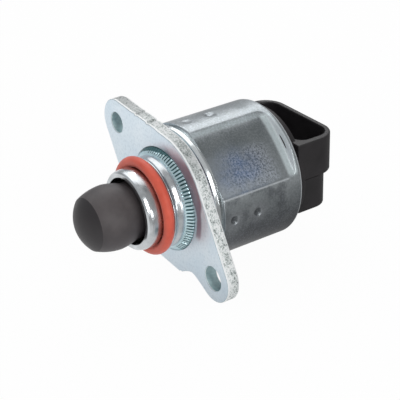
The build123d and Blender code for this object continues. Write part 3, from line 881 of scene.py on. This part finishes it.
def can_rows():
    """Rows of (kind, radius, y) round the shell: outer skin, rolled back and lip, inner skin."""
    rows = []
    for s in range(5):
        a = QUARTER * s / 4
        rows.append(("outer", CAN_R - CAN_FRONT_ROUND + CAN_FRONT_ROUND * math.sin(a),
                     CAN_FRONT + CAN_FRONT_ROUND - CAN_FRONT_ROUND * math.cos(a)))
    y = CAN_FRONT + 0.5
    while y < CAN_BACK - 1.05:
        rows.append(("outer", CAN_R, y))
        y += 0.28 if y < 25.6 else 0.14
    for s in range(9):
        a = QUARTER * s / 8
        rows.append(("back", CAN_R - CAN_BACK_ROUND + CAN_BACK_ROUND * math.cos(a),
                     CAN_BACK - CAN_BACK_ROUND + CAN_BACK_ROUND * math.sin(a)))
    lip = ((17.0, 0.0), (16.42, 0.02), (LIP_R, 0.14), (LIP_R, 0.7), (16.4, CAN_WALL), (17.3, CAN_WALL))
    rows += [("back", r, CAN_BACK - ahead) for r, ahead in lip]
    y = CAN_BACK - 1.0
    while y > CAN_FRONT + 0.3:
        rows.append(("inner", CAN_R - CAN_WALL, y))
        y -= 1.1
    rows.append(("inner", CAN_R - CAN_WALL, CAN_FRONT))
    return rows


def build_can():
    seg = 540
    loops = []
    for kind, r, y in can_rows():
        loop = []
        for k in range(seg):
            a = math.tau * k / seg
            rr = r
            if kind == "outer":
                rr = can_radius(a, y, CAN_R) - (CAN_R - r)
            elif kind == "inner":
                rr = can_radius(a, y, r)
            loop.append(polar(rr, y, a))
        loops.append(loop)
    verts, faces = skin(loops, True)
    piece("can_shell", verts, faces, [CAN], "housing", "motor_can", 50.0)


# ---- Connector: tower, shroud and cavity in one skin, with a round neck towards the can ----

def plan(hx, y0, y1, rf, rb, z):
    """Rounded rectangle at height z, with front corners of rf and back corners of rb."""
    per = 10
    pts = []
    for cx, cy, r, start in (
        (hx - rb, y1 - rb, rb, 0.0),
        (-hx + rb, y1 - rb, rb, QUARTER),
        (-hx + rf, y0 + rf, rf, math.pi),
        (hx - rf, y0 + rf, rf, math.pi * 1.5),
    ):
        for k in range(per + 1):
            a = start + QUARTER * k / per
            pts.append((cx + r * math.cos(a), cy + r * math.sin(a), z))
    return pts


def build_connector():
    hx, y0, y_shell, y_tower = 14.8, 31.85, 45.45, 42.85
    wall, back_wall = 1.9, 1.3
    tower = [(-8.9, 0.55), (-8.84, 0.28), (-8.68, 0.1), (-8.4, 0.0), (-7.9, 0.0), (0.1, 0.0), (0.32, -0.01)]
    shell = [(0.4, 0.22), (0.46, 0.08), (0.62, 0.0), (1.2, 0.0), (10.2, 0.0), (10.62, 0.02), (10.8, 0.1),
             (10.88, 0.24), (10.9, 0.4)]
    cavity = [(10.9, 0.42), (10.88, 0.26), (10.8, 0.1), (10.6, 0.02), (10.2, 0.0), (3.0, 0.0), (2.6, -0.06),
              (2.42, -0.25), (2.4, -0.5)]
    loops = [plan(hx - 0.04 - inset, y0 + inset, y_tower - inset, 0.401, 4.7 - inset * 0.5, z)
             for z, inset in tower]
    loops += [plan(hx - inset, y0 + inset, y_shell - inset, max(0.45 - inset * 0.3, 0.2),
                   6.0 - inset * 0.6, z)
              for z, inset in shell]
    loops += [plan(hx - wall + flare, y0 + wall - flare, y_shell - back_wall + flare, 3.0 + flare * 0.5,
                   4.1 + flare * 0.5, z)
              for z, flare in cavity]
    verts, faces = skin(loops)
    piece("connector_shroud", verts, faces, [BLACK], "housing", "connector_cap", 32.0)

    neck = filleted([(0, 28.0), (15.9, 28.0), (16.2, 28.76), (16.2, 33.2), (15.4, 33.25), (0, 33.25)],
                    [0, 0.1, 0.1, 0.5, 0.1, 0])
    lathe("cap_neck", neck, [BLACK], "housing", "connector_cap", 224, closed=False)


# Terminal blades, with ground tips and a leg that goes into the can
def build_blade(name, x, replaced):
    w, t = 1.5, 0.64
    yc = 38.95
    foot, leg_top, leg_front = -7.62, -6.98, 23.95
    # Height, share of the width and share of the thickness
    rows = [(foot, 1.0, 1.0), (-1.0, 1.0, 1.0), (4.5, 1.0, 1.0), (5.3, 0.86, 0.72), (5.9, 0.62, 0.36),
            (6.0, 0.5, 0.2)]
    corners = ((1, 1), (-1, 1), (-1, -1), (1, -1))
    loops = []
    for z, share_w, share_t in rows:
        hw = w / 2 * share_w
        ht = t / 2 * share_t
        b = 0.08 * min(share_w, share_t)
        loop = []
        for sx, sy in corners:
            pair = [(x + sx * hw, yc + sy * (ht - b), z), (x + sx * (hw - b), yc + sy * ht, z)]
            loop += pair if sx == sy else pair[::-1]
        loops.append(loop)
    verts, faces = skin(loops)
    back = yc - t / 2 - 0.01
    base = len(verts)
    for dx in (-w / 2, w / 2):
        verts += [(x + dx, y, z) for z, y in
                  ((leg_top, leg_front), (leg_top, back), (foot, back), (foot, leg_front))]
    faces += [tuple(base + k for k in (0, 1, 2, 3)), tuple(base + k for k in (7, 6, 5, 4))]
    for k in range(4):
        k2 = (k + 1) % 4
        faces.append((base + k, base + 4 + k, base + 4 + k2, base + k2))
    piece(name, verts, faces, [TIN], "housing", replaced, 30.0)


# ---- Inside: lead screw with its thread and two flats, and the return spring ----

def build_screw():
    start, end, core, crest = -20.0, 21.5, 2.02, 2.4
    pitch = 1.0
    thread_start = 7.6
    flat_half, flat_from, flat_to = 1.8, -4.9, 8.8
    seg = 48
    rows = int((end - start) / 0.125)
    loops = []
    for i in range(rows + 1):
        y = start + (end - start) * i / rows
        loop = []
        for k in range(seg):
            ridge = 1 - abs(2 * ((y / pitch - k / seg) % 1.0) - 1)
            r = core + (crest - core) * min(max((ridge - 0.15) / 0.6, 0.0), 1.0)
            if y < thread_start:
                r = crest
            if y > end - 0.5:
                r = min(r, crest - (y - end + 0.5))
            x, _, z = polar(r, y, math.tau * k / seg)
            if flat_from < y < flat_to:
                z = max(-flat_half, min(flat_half, z))
            loop.append((x, y, z))
        loops.append(loop)
    verts, faces = skin(loops)
    piece("threaded_shaft", verts, faces, [GROUND], "plunger", "lead_screw", 30.0)


# Its front end sits at the pintle, its rear end at the guide bush
def build_spring():
    y0, y1, radius, wire = -17.65, 1.5, 5.6, 0.35
    turns = 7
    steps = 40 * turns
    around = [math.tau * k / 12 for k in range(12)]
    dead = 0.07
    loops = []
    for i in range(steps + 1):
        f = i / steps
        if f < dead:
            climb = 0.5 * f * f / dead
        elif f > 1 - dead:
            climb = 1 - dead - 0.5 * (1 - f) ** 2 / dead
        else:
            climb = f - dead / 2
        climb = min(max(climb / (1 - dead), 0.0), 1.0)
        a = math.tau * turns * f
        c = Vector(polar(radius, y0 + wire + (y1 - y0 - 2 * wire) * climb, a))
        radial = Vector(polar(1, 0, a))
        loops.append([tuple(c + radial * (wire * math.cos(t)) + E_Y * (wire * math.sin(t))) for t in around])
    verts, faces = skin(loops)
    return piece("spring_coil", verts, faces, [SPRING], None, "return_spring", 60.0)


build_flange()
build_sleeve()
build_teeth()
build_ring()
build_pintle()
build_front_ring()
build_can()
build_connector()
for index, letter in enumerate("abcd"):
    build_blade("blade_" + letter, PIN_PITCH * (index - 1.5), "terminal_pin_" + letter)
build_screw()
spring = build_spring()
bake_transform(spring)

# Materials of the solids that stay as they are
KEPT = {
    "guide_bush": PALE,
    "bearing_outer_race": GROUND,
    "bearing_inner_race": GROUND,
    "ball_cage": GROUND,
    "rotor_hub": PALE,
    "thread_insert": BRASS,
    "rotor_magnet": FERRITE,
    "preload_washer": SPRING,
    "rear_bush": BRONZE,
    "front_pole_cup": CAN,
    "front_pole_plate": CAN,
    "rear_pole_plate": CAN,
    "rear_pole_cup": CAN,
    "front_bobbin": PALE,
    "rear_bobbin": PALE,
    "front_coil": COPPER,
    "rear_coil": COPPER,
    "cap_seal": DARK_RUBBER,
}
for name, material in KEPT.items():
    me = nodes[name].data
    me.materials.clear()
    me.materials.append(material)


# ---- Floor, world, lamps and camera ----

# White to the camera; in mirrors it glows with painted light and shade, bright in front and darker towards
# the back
def floor_material():
    mat, nt, bsdf = node_tree("floor_white")
    put(nt, bsdf.inputs["Base Color"], (0.86, 0.86, 0.86))
    bsdf.inputs["Roughness"].default_value = 0.9
    bsdf.inputs["Specular IOR Level"].default_value = 0.05
    path = nt.nodes.new("ShaderNodeLightPath")
    camera = path.outputs["Is Camera Ray"]
    x, y, _ = separate(nt, coords(nt))
    ahead = weighted(nt, x, 0.5, y, 0.86)
    mirrored = math_node(nt, "MULTIPLY_ADD", rising(nt, ahead, -0.015, 0.045), -0.62, 0.95)
    glow = nt.nodes.new("ShaderNodeEmission")
    put(nt, glow.inputs["Strength"], highest(nt, camera, mirrored))
    share = highest(nt, product(nt, camera, 0.97), path.outputs["Is Glossy Ray"],
                    path.outputs["Is Transmission Ray"])
    both = nt.nodes.new("ShaderNodeMixShader")
    for socket, value in zip(both.inputs, (share, bsdf.outputs[0], glow.outputs[0])):
        put(nt, socket, value)
    put(nt, nt.nodes["Material Output"].inputs["Surface"], both.outputs[0])
    return mat


def set_floor():
    bm = bmesh.new()
    bmesh.ops.create_grid(bm, x_segments=1, y_segments=1, size=2.0)
    me = bpy.data.meshes.new("floor")
    bm.to_mesh(me)
    bm.free()
    ob = place_object("floor", me)
    ob.location = (0, 0, -0.0201)
    me.materials.append(floor_material())


# Pale room with a bright ceiling and one dark patch, and plain white behind the object
def set_world():
    world = bpy.data.worlds.new("studio")
    scene.world = world
    world.use_nodes = True
    nt = world.node_tree
    back = nt.nodes["Background"]
    around = nt.nodes.new("ShaderNodeTexCoord").outputs["Generated"]
    x, y, z = separate(nt, around)
    height = ramp(nt, z, [(0.0, (0.57, 0.575, 0.58)), (0.35, (0.52, 0.525, 0.53)),
                          (0.7, (0.63, 0.635, 0.64)), (1.0, (0.81, 0.815, 0.82))])
    side = rising(nt, weighted(nt, x, -0.80, y, -0.60), -0.75, 0.75)
    shade = ramp(nt, side, [(0.0, (0.80, 0.80, 0.80)), (0.5, (0.87, 0.875, 0.88)), (1.0, (1.11, 1.12, 1.14))])
    lit = mix(nt, 1.0, height, shade, "MULTIPLY")
    patch = vector_node(nt, "DOT_PRODUCT", around, (0.12, 0.50, 0.86))
    lit = mix(nt, product(nt, rising(nt, patch, 0.925, 0.985), 0.55), lit, (0.10, 0.10, 0.105))
    seen = nt.nodes.new("ShaderNodeLightPath").outputs["Is Camera Ray"]
    strength = 0.85
    white = 1.176
    put(nt, back.inputs["Color"], mix(nt, seen, lit, (white, white, white)))
    back.inputs["Strength"].default_value = strength


def lamp(name, place, target, size, size_y, power):
    data = bpy.data.lights.new(name, "AREA")
    data.shape = "RECTANGLE"
    data.size = size
    data.size_y = size_y
    data.energy = power
    ob = place_object(name, data)
    ob.location = place
    ob.rotation_euler = (Vector(target) - Vector(place)).to_track_quat("-Z", "Y").to_euler()


# Camera at the photograph's viewing angle; focal length in pixels, places in millimetres
def set_camera():
    azimuth, height, roll = (math.radians(v) for v in (55.585, 28.124, -1.6))
    focal, frame_px, sensor = 1302.432, 400.0, 36.0
    reach, aim_right, aim_up = 330.0, 9.244, -0.344
    back = Vector((math.sin(azimuth) * math.cos(height), -math.cos(azimuth) * math.cos(height),
                   math.sin(height)))
    level = Vector((math.cos(azimuth), math.sin(azimuth), 0))
    upright = back.cross(level)
    right = level * math.cos(roll) + upright * math.sin(roll)
    up = -level * math.sin(roll) + upright * math.cos(roll)
    eye = (right * aim_right + up * aim_up + back * reach) * MM
    data = bpy.data.cameras.new("camera")
    data.sensor_width = sensor
    data.lens = focal / frame_px * sensor
    data.clip_start = 0.01
    ob = place_object("camera", data)
    ob.matrix_world = Matrix.Translation(eye) @ Matrix((right, up, back)).transposed().to_4x4()
    scene.camera = ob


set_floor()
set_world()
lamp("key", (-0.36, 0.17, 0.60), (0, 0, 0), 0.75, 0.75, 1.8)
lamp("top", (-0.47, 0.34, 0.44), (0, 0.01, 0), 0.24, 0.12, 0.25)
lamp("side", (0.62, -0.115, 0.353), (0, 0, 0), 0.10, 0.40, 1.1)
lamp("fill", (0.66, 0.12, 0.05), (0, 0, 0), 0.16, 0.16, 0.5)
set_camera()
scene.view_settings.view_transform = "Standard"
